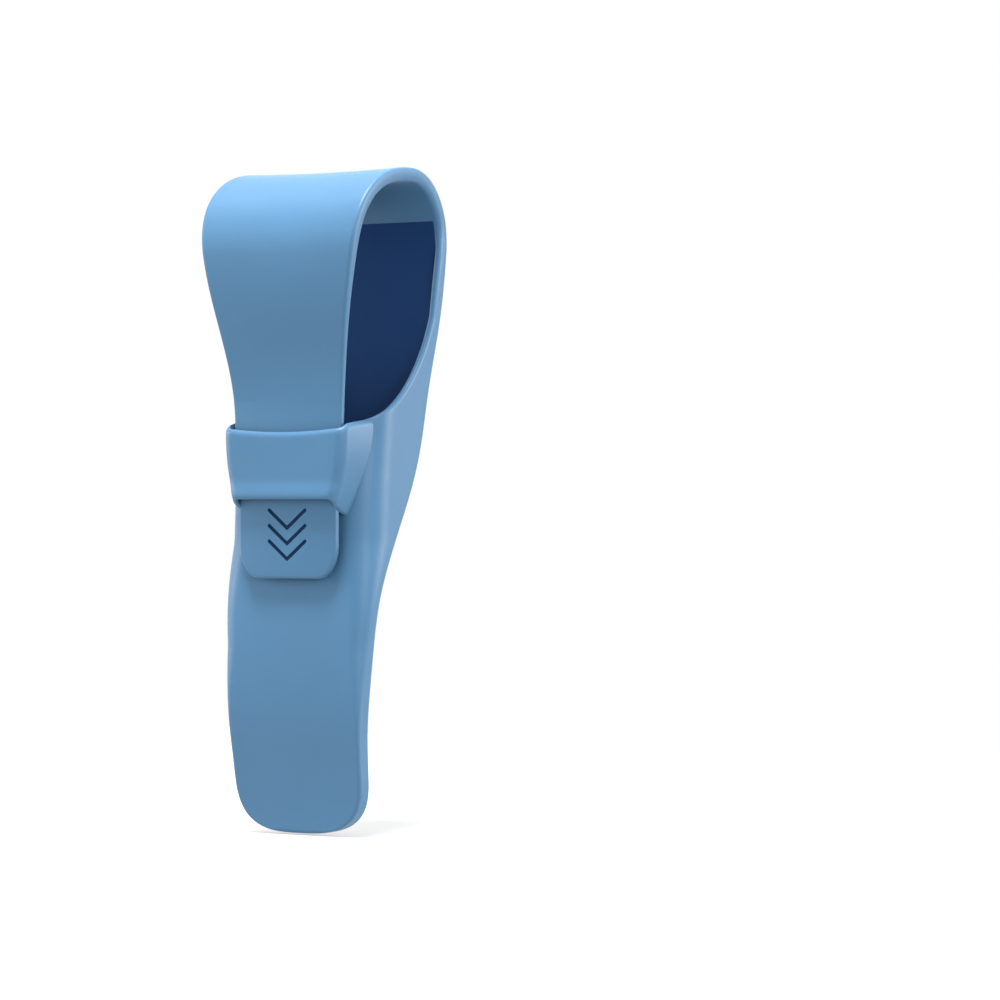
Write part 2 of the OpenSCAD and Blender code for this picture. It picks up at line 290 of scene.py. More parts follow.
def path(q):
    """The middle of the band at a station, as y and z."""
    a = math.radians(q)
    if q <= 90:
        return np.array([crown_y + hood_back * math.cos(a), back_centre_z + nape_h * math.sin(a)])
    if q <= 180:
        forward = max(0.0, -math.cos(a)) ** (2 / HOOD_SQUARE)
        up = max(0.0, math.sin(a)) ** (2 / HOOD_SQUARE)
        return np.array([crown_y - hood_fwd * forward, front_centre_z + brow_h * up])
    return np.array([ease(hood_front_y, strap_y, (q - 180) / drop), front_centre_z - (q - 180)])


def outward(q):
    """The way the outer face looks at a station."""
    step = path(q + 0.5) - path(q - 0.5)
    return np.array([step[1], -step[0]]) / np.linalg.norm(step)


def thick(q):
    """Thickness of the band at a station."""
    return ease(hood_t, strap_t, part_way(q, BROW_FLEX, 180 + drop))


def band_half(z):
    """Half the width of the band at a height."""
    shoulder_z = mouth_h - SHOULDER_DROP
    if z > shoulder_z:
        return ease(strap_w / 2, hood_w / 2, part_way(z, shoulder_z, sheath_h - SHOULDER_DROP))
    return ease(tab_w / 2, strap_w / 2, part_way(z, keeper_bottom_z, shoulder_z))


def curl(q):
    """How far the side edges of the band lift away from the pouch."""
    return CURL * ease(0, 1, part_way(q, crease_q + 4, 75)) * ease(1, 0, part_way(q, 140, 190))


flex = [crease_q, NAPE_FLEX, CROWN_FLEX, BROW_FLEX] + [180 + drop * share for share in STRAP_FLEXES]
cuts = [crease_q] + [(flex[i] + flex[i + 1]) / 2 for i in range(len(flex) - 1)]
print("band stations", [round(q, 1) for q in cuts])

# %% [markdown]
# ## The pouch
# The pouch is a tapering tube with a closed toe, open at a mouth whose rim sweeps up the sides
# to the back wall. A tube cut by a curve is awkward as a boolean, because the thin rim would
# need rounding afterwards. So every upright line of the mesh ends exactly on the rim, and a
# soft lip joins the outer skin to the inner one all the way round.

# %% How wide the pouch is at each height
def toe_round(z):
    """The share of the full width that the rounded toe leaves at a height."""
    return 1 if z >= toe_h else (1 - (1 - max(z, 0.0) / toe_h) ** 3) ** (1 / 3)


def edge_round(z, r):
    """How far the rounding of the bottom edge draws a face in at a height."""
    return 0 if z >= r else r - math.sqrt(r * r - (r - z) ** 2)


def half_width(z):
    """Half the width of the pouch at a height."""
    if z < mouth_h:
        return toe_round(z) * ease(toe_w / 2, pouch_w / 2, part_way(z, toe_h * 0.6, mouth_h * 0.7))
    return ease(pouch_w / 2, band_half(crease_z), part_way(z, mouth_h, crease_z))


print("toe", toe_w, "mm wide, pouch", pouch_w, "mm, crease", round(2 * half_width(crease_z), 1), "mm")

# %% [markdown]
# ## Side view of the pouch
# Seen from the side, the toe is slim, the front bows forwards above it and leans back at the
# rim, and the back sweeps out to the hood. Each face is a chain of eased stretches. Their joins
# would show as faint lines in a highlight, so both profiles are averaged over their neighbours
# once and then looked up.

# %% Front and back profiles
TOE_SET_BACK = 1.5
SLIM_FORWARD = 2.4
SLIM_GROWTH = 1.22
HEEL_SWELL = 1.2
RIM_LEAN = 2.6
BLEND_H = 4


def front_profile(z):
    """Depth of the front face, before it is softened."""
    slim_y, blend_z = front_wall_y - SLIM_FORWARD, keeper_bottom_z - BLEND_H
    if z < slim_h:
        return ease(front_wall_y + TOE_SET_BACK, slim_y, part_way(z, 0, slim_h * 0.85))
    if z < keeper_bottom_z:
        return ease(slim_y, front_wall_y, part_way(z, slim_h, blend_z))
    return ease(front_wall_y, front_wall_y + RIM_LEAN, part_way(z, blend_z, mouth_h + BLEND_H))


def back_profile(z):
    """Depth of the back face, before it is softened."""
    slim_y = front_wall_y - SLIM_FORWARD + toe_t * SLIM_GROWTH
    if z < slim_h:
        y = ease(front_wall_y + TOE_SET_BACK + toe_t, slim_y, part_way(z, 0, slim_h * 0.7))
        return y + ease(0, HEEL_SWELL, part_way(z, slim_h * 0.75, slim_h))
    if z < back_centre_z:
        y = ease(slim_y + HEEL_SWELL, mouth_back_y, part_way(z, slim_h + 6, mouth_h + 1))
        return y + ease(0, back_y - mouth_back_y, part_way(z, mouth_h - 8, back_centre_z - 6))
    rise = min(1.0, (z - back_centre_z) / (nape_h + hood_t / 2))
    return crown_y + (hood_back + hood_t / 2) * math.cos(math.asin(rise))


PROFILE_STEP = 0.5
heights = np.arange(0, crease_z + 12, PROFILE_STEP)


def softened(profile, reach):
    """The profile at every height, averaged over its neighbours so that no kink shows."""
    found = []
    for z in heights:
        span = min(reach, z * 0.6, max(0.0, (back_centre_z - z) * 0.6))
        found.append(np.mean([profile(z + span * k / 6) for k in range(-6, 7)]))
    return np.array(found)


front_table, back_table = softened(front_profile, 7), softened(back_profile, 9)


def front_y(z):
    """Depth of the front face at a height."""
    return float(np.interp(z, heights, front_table)) + edge_round(z, 0.8)


def back_face_y(z):
    """Depth of the back face at a height."""
    return float(np.interp(z, heights, back_table)) - edge_round(z, 1.6)


print("pouch is", round(back_face_y(mouth_h) - front_y(mouth_h), 1), "mm deep at the mouth")


# %% Wall and corners
def wall_at(z):
    """Thickness of the back wall, which grows to the hood's."""
    return ease(wall, hood_t, part_way(z, mouth_h - 10, crease_z - 12))


def corner_radii(z):
    """Roundings of the front and back corners of the section at a height."""
    depth = back_face_y(z) - front_y(z)
    front = ease(0.9, 8.8, part_way(z, 22, mouth_h * 0.72))
    back = ease(1.4, 3.2, part_way(z, toe_h, mouth_h * 0.7)) - ease(0, 1.8, part_way(z, 140, crease_z))
    return min(front, depth * 0.62, half_width(z)), min(back, depth * 0.34, half_width(z))


print("front and back corners at the mouth", [round(r, 1) for r in corner_radii(mouth_h)], "mm")

# %% [markdown]
# ## The rim
# The mouth's rim starts nearly level at the front and sweeps up to the back wall, like a
# quarter of an ellipse. It is a formula in side view, so the skin can end on it and the lip
# can face away from it. The lip's root lies a little below the rim, and the lip fills the rest.

# %% The line of the rim in side view
RIM_START = 10
RIM_DIP = 2.4
LIP_DEPTH = 0.95
LIP_STEPS = 8
WING = 4.6
RIM_SET_BACK = 1.5


def rim(a):
    """A point on the top of the rim, and the way the rim faces, at an angle along it."""
    a = math.radians(a)
    start = math.radians(RIM_START)
    first_y = front_wall_y + RIM_SET_BACK
    reach = (back_y - WING - first_y) / (1 - math.sin(start))
    y = first_y + reach * (math.sin(a) - math.sin(start))
    z = mouth_h + rim_rise * (1 - math.cos(a) / math.cos(start))
    slope = np.array([reach * math.cos(a), rim_rise * math.sin(a) / math.cos(start)])
    slope /= np.linalg.norm(slope)
    return np.array([y, z]), np.array([-slope[1], slope[0]])


rim_angles = np.linspace(RIM_START, 90, 161)
lip_root = np.array([rim(a)[0] - rim(a)[1] * LIP_DEPTH for a in rim_angles])
flange_y, flange_z = lip_root[-1]


def rim_height(y):
    """Height of the lip's root at a depth."""
    return float(np.interp(y, lip_root[:, 0], lip_root[:, 1]))


def rim_facing(z):
    """The way the rim faces at a height."""
    angle = float(np.interp(z, lip_root[:, 1], rim_angles))
    return rim(angle)[1]


print("rim rises from", round(lip_root[0][1], 1), "to", round(flange_z, 1), "mm")

# %% [markdown]
# ## Upright lines round the pouch
# Each line is a zone of the section and how far along that zone it lies: the front face, the
# front corner, the side, the back corner and the back face. The sides get one line for each
# step of the sweeping rim. Because a line keeps its zone at every height, the corners stay
# crisp from toe to mouth, which an evenly spaced ring wouldn't give.

# %% A point on the section of the pouch
FRONT, FRONT_CORNER, SIDE, BACK_CORNER, BACK = range(5)


def side_share(y, z):
    """How far along the side zone a depth lies."""
    rf, rb = corner_radii(z)
    start = front_y(z) + rf
    return (y - start) / (back_face_y(z) - rb - start)


def section_point(zone, share, z, inset=0.0, back_inset=0.0):
    """A point on the right half of the section, drawn in by the wall and the back wall."""
    rf, rb = (max(0.25, r - inset) for r in corner_radii(z))
    hw = max(0.3, half_width(z) - inset)
    rf, rb = min(rf, hw), min(rb, hw)
    front, back = front_y(z) + inset, back_face_y(z) - back_inset
    if back - front < rf + rb + 0.1:
        middle = (front + back) / 2
        half = max(0.15, (back - front) / 2)
        front, back = middle - half, middle + half
        rf, rb = min(rf, half * 0.9), min(rb, half * 0.9)
    if zone == FRONT:
        return share * (hw - rf), front
    if zone == FRONT_CORNER:
        a = share * math.pi / 2
        return hw - rf + rf * math.sin(a), front + rf - rf * math.cos(a)
    if zone == SIDE:
        start, end = front + rf, back - rb
        outer_end = back_face_y(z) - corner_radii(z)[1]
        outer_start = front_y(z) + corner_radii(z)[0]
        y = outer_start + share * (outer_end - outer_start)
        if z > flange_z:
            fold = (share - flange_share) / (1 - flange_share)
            y = flange_y + fold * (outer_end - flange_y)
        return hw, min(max(y, start), end)
    if zone == BACK_CORNER:
        a = share * math.pi / 2
        return hw - rb + rb * math.cos(a), back - rb + rb * math.sin(a)
    return (1 - share) * (hw - rb), back


flange_share = side_share(flange_y, flange_z)
print("the wing starts", round(flange_share, 2), "of the way along the side")

# %% The list of lines
SIDE_LINES = 28
rim_picks = np.linspace(0, len(lip_root) - 1, SIDE_LINES)
rim_shares = [side_share(*lip_root[int(i)]) for i in rim_picks]
rim_shares = [share for share in rim_shares if 0.02 < share < flange_share - 0.012]
lines = [(FRONT, share) for share in np.linspace(0, 1, 11)[:-1]]
lines += [(FRONT_CORNER, share) for share in np.linspace(0, 1, 11)[:-1]]
lines += [(SIDE, 0.0)] + [(SIDE, share) for share in rim_shares] + [(SIDE, flange_share)]
lines += [(SIDE, flange_share + (1 - flange_share) * share) for share in (0.35, 0.7)]
lines += [(BACK_CORNER, share) for share in np.linspace(0, 1, 8)[:-1]]
lines += [(BACK, share) for share in np.linspace(0, 1, 13)]
flange_line = lines.index((SIDE, flange_share))
print(len(lines), "upright lines on each side")


def line_top(zone, share):
    """The height at which an upright line meets the root of the lip."""
    if zone in (BACK_CORNER, BACK) or (zone == SIDE and share >= flange_share):
        return flange_z
    z = mouth_h
    for _ in range(40):
        x, y = section_point(zone, share, z)
        z = 0.5 * z + 0.5 * (rim_height(y) - RIM_DIP * (1 - (x / half_width(z)) ** 2))
    return z


tops = [line_top(*line) for line in lines]
print("lines end between", round(min(tops), 1), "and", round(max(tops), 1), "mm")

# %% [markdown]
# ## Rows of the pouch
# A row joins one point on every line. Up to the shoulder, a little below the top of the keeper,
# the rows are level. Above it each line shares out what is left of its own height, so the last row lies
# on the sweeping rim. If the rows shared out the whole height, they would slope all the way
# down, and the slope would twist the quads on the narrow side.

# %% Heights of the rows
TOE_ROWS = 18
FIRST_TOE_ANGLE = 4
toe_angles = [math.radians(FIRST_TOE_ANGLE + (90 - FIRST_TOE_ANGLE) * i / TOE_ROWS)
              for i in range(TOE_ROWS + 1)]
toe_heights = [toe_h * (1 - math.cos(a) ** (2 / 3)) for a in toe_angles]
CAVITY_FLOOR = 3.2
SHOULDER_Z = 98
SHOULDER_ROWS = 24


def full_round(half):
    """The right half of a ring, front centre to back centre, and then its mirror image."""
    return half + [(-x, y, z) for x, y, z in reversed(half[1:-1])]


def row_height(r, rows, floor, top):
    """Level rows up to the shoulder, then rows that share out the rest of each line."""
    level = rows - SHOULDER_ROWS
    if r <= level:
        return floor + (SHOULDER_Z - floor) * r / level
    return SHOULDER_Z + (top - SHOULDER_Z) * (r - level) / SHOULDER_ROWS


def outer_row(r, rows):
    """The outer skin at row r: level rows round the toe, then rows up to the rim."""
    half = []
    for line, top in zip(lines, tops):
        z = toe_heights[r] if r <= TOE_ROWS else row_height(r - TOE_ROWS, rows - TOE_ROWS, toe_h, top)
        half.append((*section_point(*line, z), z))
    return full_round(half)


def inner_row(r, rows):
    """The inner skin at row r, from the cavity floor up to the rim."""
    half = []
    for line, top in zip(lines, tops):
        z = row_height(r, rows, CAVITY_FLOOR, top)
        half.append((*section_point(*line, z, wall, wall_at(z)), z))
    return full_round(half)


print("toe rows start at", round(toe_heights[0], 3), "mm, cavity floor at", CAVITY_FLOOR, "mm")

# %% [markdown]
# ## From the pouch into the hood
# Above the rim only the back wall is left, and it becomes the hood at the moulded crease. The
# wall eases from the pouch's section into the hood's over this stretch, so that the two meet
# with the same outline and no notch shows at the crease.

# %% Section of the hood
def slab_edge(half, t, outer_round, inner_round, a, inner):
    """A point on the side edge of a slab: 0 to 90 degrees round its outer or inner corner."""
    middle = t / 2 - min(1.3, t / 2)
    c, sn = (max(0.0, f(math.radians(a))) ** (2 / 2.5) for f in (math.cos, math.sin))
    if inner:
        return half - inner_round + inner_round * c, middle - (t / 2 + middle) * sn
    return half - outer_round + outer_round * sn, middle + (t / 2 - middle) * c


def edge_rounding(q):
    """Widths of the rounding of the outer and inner side edges."""
    outer = min(0.9, thick(q) * 0.36)
    return outer, outer + (1.9 - outer) * ease(1, 0, part_way(q, 110, 185))


def slab_half(q, centre_z):
    """Right half of the hood's section in the pouch's own columns: outer, lip and inner points."""
    half, t = band_half(centre_z), thick(q)
    outer_round, inner_round = edge_rounding(q)
    side = [line for line in lines[flange_line:] if line[0] != BACK]
    back = [share for zone, share in lines if zone == BACK]
    outer_pts = [slab_edge(half, t, outer_round, inner_round, 90 * (1 - i / len(side)), False)
                 for i in range(len(side))]
    outer_pts += [((half - outer_round) * (1 - share), t / 2) for share in back]
    lip_pts = [slab_edge(half, t, outer_round, inner_round, 90 * k / LIP_STEPS, True)
               for k in range(1, LIP_STEPS)]
    inner_pts = [(half - inner_round - 0.12 * i, -t / 2) for i in range(len(side))]
    inner_pts += [((half - inner_round - 0.12 * len(side)) * (1 - share), -t / 2) for share in back]
    return outer_pts, lip_pts, inner_pts


def slab_place(points, centre, normal):
    """Points across and out from the band's middle, placed as x, y and z."""
    return [(x, *(centre + normal * n)) for x, n in points]


def strip_row(z, share):
    """Outer, lip and inner points of the right half of the back wall at a height."""
    if z > back_centre_z:
        q = math.degrees(math.asin((z - back_centre_z) / nape_h))
        centre, normal = path(q), outward(q)
    else:
        q, centre, normal = 0, np.array([back_y - hood_t / 2, z]), np.array([1.0, 0.0])
    slab = [slab_place(part, centre, normal) for part in slab_half(q, centre[1])]
    zs = min(z, crease_z)
    outer_pts = [(*section_point(*line, zs), z) for line in lines[flange_line:]]
    inner_pts = [(*section_point(*line, zs, wall, wall_at(zs)), z) for line in lines[flange_line:]]
    lip_pts = lip(outer_pts[0], inner_pts[0], (0, -1, 0), LIP_STEPS, LIP_DEPTH)
    return [[tuple(np.array(a) * (1 - share) + np.array(b) * share) for a, b in zip(ours, theirs)]
            for ours, theirs in zip((outer_pts, lip_pts, inner_pts), slab)]


def mirrored(points):
    """The same points on the left side, in the opposite order."""
    return [(-x, y, z) for x, y, z in reversed(points)]


print("hood section at the crease", round(2 * band_half(crease_z), 1), "x", round(thick(crease_q), 1), "mm")

# %% [markdown]
# ## Stitching the pouch
# The outer and inner skins are two tubes of quads. The inner one is stitched the other way
# round, so that its faces point into the cavity. The back wall is then stitched on above the
# rim, and one lip runs along the front rim and up both edges of the back wall. A last face at
# the crease, where the band takes over, closes the mesh.

# %% Outer and inner skins
OUTER_ROWS, INNER_ROWS, BACK_ROWS = 90, 70, 16
pouch = Skin()
outer = [pouch.row(outer_row(r, OUTER_ROWS)) for r in range(OUTER_ROWS + 1)]
inner = [pouch.row(inner_row(r, INNER_ROWS)) for r in range(INNER_ROWS + 1)]
for a, b in zip(outer, outer[1:]):
    pouch.stitch(a, b, closed=True)
# The inner skin and the cavity floor take slot 1, the painted shade of the pouch's cavity.
for a, b in zip(inner, inner[1:]):
    pouch.stitch(b, a, closed=True, colour_and_shade_slot=1)
pouch.face(list(reversed(outer[0])))
pouch.face(inner[0], colour_and_shade_slot=1)
print("pouch skins have", len(pouch.faces), "faces")

# %% The wall between the rim and the crease
around = len(outer[0])
back_slots = range(flange_line, around - flange_line + 1)
outer_back = [[outer[-1][i] for i in back_slots]]
inner_back = [[inner[-1][i] for i in back_slots]]
right_lips, left_lips = [], []
for r in range(1, BACK_ROWS + 1):
    z = flange_z + (crease_z - flange_z) * r / BACK_ROWS
    outer_pts, lip_pts, inner_pts = strip_row(z, ease(0, 1, r / BACK_ROWS))
    outer_back.append(pouch.row(outer_pts + mirrored(outer_pts[:-1])))
    inner_back.append(pouch.row(inner_pts + mirrored(inner_pts[:-1])))
    right_lips.append(pouch.row(lip_pts))
    left_lips.append(pouch.row([(-x, y, zz) for x, y, zz in lip_pts]))
for a, b in zip(outer_back, outer_back[1:]):
    pouch.stitch(a, b)
# The inner face of the back wall takes the painted shade too.
for a, b in zip(inner_back, inner_back[1:]):
    pouch.stitch(b, a, colour_and_shade_slot=1)

print("back wall runs from", round(flange_z, 1), "to", round(crease_z, 1), "mm")

# %% The soft lip, along the front rim and then up both edges of the back wall
front_slots = list(range(around - flange_line, around)) + list(range(0, flange_line + 1))
rings = []
for slot in front_slots:
    o, i = outer[-1][slot], inner[-1][slot]
    facing = (0, *rim_facing(pouch.points[o][2]))
    depth = min(LIP_DEPTH, wall * 0.6)
    rings.append([o] + pouch.row(lip(pouch.points[o], pouch.points[i], facing, LIP_STEPS, depth)) + [i])
up_right = [[o[0]] + lips + [i[0]] for o, lips, i in zip(outer_back[1:], right_lips, inner_back[1:])]
up_left = [[o[-1]] + lips + [i[-1]] for o, lips, i in zip(outer_back[1:], left_lips, inner_back[1:])]
rings = list(reversed(up_left)) + rings + up_right
for a, b in zip(rings, rings[1:]):
    pouch.stitch(a, b)
crease_ring = outer_back[-1] + left_lips[-1] + inner_back[-1][::-1] + right_lips[-1][::-1]
pouch.face(crease_ring)
# Slot 1 of the pouch is the darker copy, painted shade for the cavity.
pouch_piece = pouch.build("sheath_pouch", [outside, painted_inside_shade])
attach(pouch_piece, "pouch")
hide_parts("toe_cap", "front_panel", "back_panel", "left_wall", "right_wall",
            "tongue", "left_wing", "right_wing")

# %% [markdown]
# ## The keeper band
# The keeper is a loop of the same wall that stands off the front of the pouch, so the strap
# can pass behind it. Its webs run back to the pouch, up to the rim and down to a point. It is
# one sheet that follows a U in plan, with a rolled upper lip and a hem that flares a little.

# %% Keeper outline
KEEPER_CORNER = 2.9
KEEPER_SAG = 0.85
KEEPER_ROOM = 2.4
KEEPER_TAPER, TAPER_TOP_Z, TAPER_H = 2.4, 103, 16.2
ROLL, HEM, HEM_FLARE = 1.5, 0.6, 0.6
SUNK = 0.9
CORNER_SHARE = 0.51
keeper_half_top = strap_w / 2 + KEEPER_ROOM


def keeper_half(z):
    """The band narrows slowly at first and faster towards its lower edge."""
    return keeper_half_top - KEEPER_TAPER * max(0.0, (TAPER_TOP_Z - z) / TAPER_H) ** 2


def pouch_meets(x, z):
    """How far back the front of the pouch is at a width and height."""
    rf = corner_radii(z)[0]
    over = min(1.0, max(0.0, (x - half_width(z) + rf) / rf))
    return front_y(z) + rf * (1 - math.sqrt(1 - over * over))


def along(u):
    """Share of the way round the corner and back to the pouch."""
    if u <= 1:
        return 0
    if u <= 2:
        return CORNER_SHARE * (u - 1)
    return CORNER_SHARE + (1 - CORNER_SHARE) * (u - 2)


def keeper_low(u):
    """Height of the lower edge, which drops to a point where the web meets the pouch."""
    return keeper_bottom_z - HEM - 4.3 * ease(0, 1, along(u))


def keeper_high(u):
    """Height of the upper edge, which sags in the middle and climbs to the rim at the sides."""
    sag = KEEPER_SAG * (1 - min(u, 1) ** 2)
    return keeper_top_z - sag + 2.3 * ease(0, 1, along(u))


def keeper_point(u, z, inset):
    """A point of the band. u runs 0 to 1 over the flat, 1 to 2 round the corner, 2 to 3 back."""
    hw = keeper_half(min(z, keeper_top_z)) - inset
    r = KEEPER_CORNER - inset
    flare = HEM_FLARE * ease(1, 0, part_way(z, keeper_bottom_z, keeper_bottom_z + 4.5))
    front = keeper_front_y + inset - flare
    if u <= 1:
        return u * (hw - r), front
    if u <= 2:
        a = (u - 1) * math.pi / 2
        return hw - r + r * math.sin(a), front + r - r * math.cos(a)
    spread = ease(1.4, 2.0, part_way(z, keeper_bottom_z - 2, keeper_top_z))
    end = pouch_meets(hw + inset + spread, z) + SUNK
    return hw + spread * (u - 2), front + r + (u - 2) * max(0.4, end - front - r)


print("keeper", round(2 * keeper_half_top, 1), "mm wide,", round(keeper_front_y, 2), "mm at the front")


# %% Cross-section of the keeper
ROLL_STEPS, HEM_STEPS, FACE_STEPS = 8, 6, 19
INNER_EDGE_DROP = 0.4


def keeper_ring(u):
    """One closed cross-section: the rolled lip, the outer face down, the hem, the inner face up."""
    low, high = keeper_low(u), keeper_high(u)
    ring = []
    for k in range(ROLL_STEPS + 1):
        a = math.pi / 2 * k / ROLL_STEPS
        z = high - ROLL + ROLL * math.cos(a)
        ring.append((*keeper_point(u, z, keeper_wall * (1 - math.sin(a)) * 0.86), z))
    for k in range(1, FACE_STEPS):
        z = high - ROLL + (low + HEM - high + ROLL) * k / FACE_STEPS
        ring.append((*keeper_point(u, z, 0), z))
    for k in range(HEM_STEPS + 1):
        a = math.pi * k / HEM_STEPS
        z = low + HEM - HEM * math.sin(a)
        ring.append((*keeper_point(u, z, keeper_wall * (1 - math.cos(a)) / 2), z))
    for k in range(1, FACE_STEPS):
        z = low + HEM + (high - INNER_EDGE_DROP - low - HEM) * k / FACE_STEPS
        ring.append((*keeper_point(u, z, keeper_wall), z))
    return ring


print("a ring of the keeper has", len(keeper_ring(0)), "points")

# %% Sweep the keeper round the U
stations = list(np.linspace(0, 1, 9)) + list(np.linspace(1, 2, 13)[1:]) + list(np.linspace(2, 3, 13)[1:])
keeper = Skin()
rings = [[(-x, y, z) for x, y, z in keeper_ring(u)] for u in reversed(stations[1:])]
rings += [keeper_ring(u) for u in stations]
rows = [keeper.row(ring) for ring in rings]
for a, b in zip(rows, rows[1:]):
    keeper.stitch(a, b, closed=True)
keeper.face(list(reversed(rows[0])))
keeper.face(rows[-1])
keeper_piece = keeper.build("keeper_band", [outside])
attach(keeper_piece, "pouch")
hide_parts("keeper_front", "keeper_left_web", "keeper_right_web")

# %% [markdown]
# ## The hood and strap
# The band bends where it flexes, so it is cut into nine lengths. The first starts at the
# crease and the others in the middle of a CAD piece, and each runs to the middle of the next,
# across the flex line on its way. Neighbouring lengths meet on the same ring, so the band looks
# whole.

# %% Cross-section of the band
ACROSS = 28
OUTER_EDGE_STEPS, INNER_EDGE_STEPS = 5, 7


def band_ring(q):
    """Closed section at a station: outer face, right edge, inner face, left edge."""
    centre, normal = path(q), outward(q)
    half, t, lift = band_half(centre[1]), thick(q), curl(q)
    outer_round, inner_round = edge_rounding(q)

    def point(x, n):
        n += lift * min(1.1, abs(x) / half) ** 2
        y, z = centre + normal * n
        return x, y, z

    def face_points(flat, n):
        return [(flat * math.sin(math.pi * (k / ACROSS - 0.5)), n) for k in range(ACROSS + 1)]

    edge = [slab_edge(half, t, outer_round, inner_round, 90 * k / OUTER_EDGE_STEPS, False)
            for k in range(1, OUTER_EDGE_STEPS + 1)]
    edge += [slab_edge(half, t, outer_round, inner_round, 90 * k / INNER_EDGE_STEPS, True)
             for k in range(1, INNER_EDGE_STEPS)]
    section = face_points(half - outer_round, t / 2) + edge
    section += list(reversed(face_points(half - inner_round, -t / 2)))
    section += [(-x, n) for x, n in reversed(edge)]
    return [point(x, n) for x, n in section]


def stations_between(q0, q1, spacing=0.7):
    """Stations evenly spaced along the band, about `spacing` millimetres apart."""
    fine = np.linspace(q0, q1, 200)
    run = np.cumsum([0.0] + [float(np.linalg.norm(path(b) - path(a))) for a, b in zip(fine, fine[1:])])
    count = max(4, int(run[-1] / spacing))
    return [float(np.interp(run[-1] * k / count, run, fine)) for k in range(count + 1)]


print("a ring of the band has", len(band_ring(90)), "points")

# %% [markdown]
# ## The lengths of band
# The inner face of the first length starts in the painted inside shade, a darker copy of the
# silicone that stands in for the shade in the loop. The painted shade ends in a straight line
# just past the crease.

# %% Baking the lengths, and the end of the painted inside shade
bodies = ["pouch", "hood_rear", "hood_crown", "hood_front", "strap_brow", "strap_upper",
          "strap_middle", "strap_lower", "strap_neck", "strap_end"]


def across_joint(piece, index):
    """Bakes the length in place and hides the CAD piece of the next body."""
    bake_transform(piece)
    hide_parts(bodies[index + 1])


# Height where the painted inside shade stops on the hood's inner face.
PAINTED_SHADE_END_Z = 161.4
INNER_START = ACROSS + OUTER_EDGE_STEPS + INNER_EDGE_STEPS


def paint_shade_on_inner_face(skin, rows):
    """Gives the inner face the painted shade of the cavity, up to a little way past the crease."""
    inner = set()
    for row in rows:
        if skin.points[row[ACROSS // 2]][2] < PAINTED_SHADE_END_Z:
            inner.update(row[INNER_START:INNER_START + ACROSS + 1])
    for i, corners in enumerate(skin.faces):
        if all(c in inner for c in corners):
            skin.colour_and_shade_slot[i] = 1


print("inside finish ends", round(PAINTED_SHADE_END_Z - crease_z, 1), "mm above the crease")

# %% Eight lengths of band
for index in range(len(cuts) - 1):
    q0, q1 = cuts[index], cuts[index + 1]
    band = Skin()
    rows = [band.row(band_ring(q)) for q in stations_between(q0, q1)]
    for a, b in zip(rows, rows[1:]):
        band.stitch(a, b, closed=True)
    # The first length's inner face takes the painted inside shade.
    if index == 0:
        paint_shade_on_inner_face(band, rows)
    band.face(list(reversed(rows[0])))
    band.face(rows[-1])
    piece = band.build("band_" + bodies[index + 1], [outside, painted_inside_shade])
    across_joint(piece, index)

# %% [markdown]
# ## The end of the strap and the pull tab
# The last length runs through the keeper, where it narrows a little and thickens into the tab.
# It is one plate: a soft edge follows its outline down one side, round the corners and up the
# other. The corners are taller than they are wide. The chevrons are cut afterwards.

# %% Tab outline
CORNER_W, CORNER_H = 5.8, 8.8
PLATE_EDGE = 1.1
PLATE_EDGE_STEPS = 8
PLATE_SQUARE = 2.8


def tab_rows():
    """Rows down the right side: x, z, the way the edge faces, centre y and thickness."""
    found = []
    for q in stations_between(cuts[-1], 180 + drop, 0.6):
        y, z = path(q)
        found.append((band_half(z), z, (1, 0), y, thick(q)))
    corner_z = tab_bottom_z + CORNER_H
    for z in np.linspace(mouth_h, corner_z, 50)[1:]:
        t = ease(strap_t, tab_t, part_way(z, mouth_h - 2, keeper_bottom_z + 2))
        half = band_half(z) if z > keeper_bottom_z else tab_w / 2
        found.append((half, z, (1, 0), strap_y, t))
    for a in np.radians(np.linspace(0, 90, 22)[1:]):
        x = tab_w / 2 - CORNER_W + CORNER_W * math.cos(a)
        z = corner_z - CORNER_H * math.sin(a)
        facing = np.array([math.cos(a) / CORNER_W, -math.sin(a) / CORNER_H])
        facing /= np.linalg.norm(facing)
        found.append((x, z, tuple(facing), strap_y, tab_t))
    for x in np.linspace(tab_w / 2 - CORNER_W, 0, 8)[1:]:
        found.append((x, tab_bottom_z, (0, -1), strap_y, tab_t))
    return found


right_side = tab_rows()
outline = [(*row, 1) for row in right_side] + [(*row, -1) for row in reversed(right_side[:-1])]
print("tab outline has", len(outline), "points")

# %% Sweep the soft edge round the outline and fill the faces
plate = Skin()
sweeps = []
for x, z, (fx, fz), y, t, side in outline:
    depth = min(PLATE_EDGE, t * 0.36)
    root = np.array([x - fx * depth, z - fz * depth])
    front = (root[0] * side, y - t / 2, root[1])
    back = (root[0] * side, y + t / 2, root[1])
    edge = lip(front, back, (fx * side, 0, fz), PLATE_EDGE_STEPS, depth, PLATE_SQUARE)
    sweeps.append(plate.row([front] + edge + [back]))
for a, b in zip(sweeps, sweeps[1:]):
    plate.stitch(a, b)
straight = sum(1 for row in right_side if row[2] != (0, -1)) - 1
for column in (0, -1):
    for i in range(straight):
        a, b = sweeps[i][column], sweeps[i + 1][column]
        c, d = sweeps[-1 - i][column], sweeps[-2 - i][column]
        if i == straight - 1:
            bottom = [sweeps[k][column] for k in range(i + 1, len(sweeps) - 1 - i)]
            plate.face([a] + bottom + [c])
        else:
            plate.face([a, b, d, c])
plate.face(sweeps[0] + list(reversed(sweeps[-1])))
tab_piece = plate.build("band_strap_end_and_tab", [outside, painted_groove_shade])

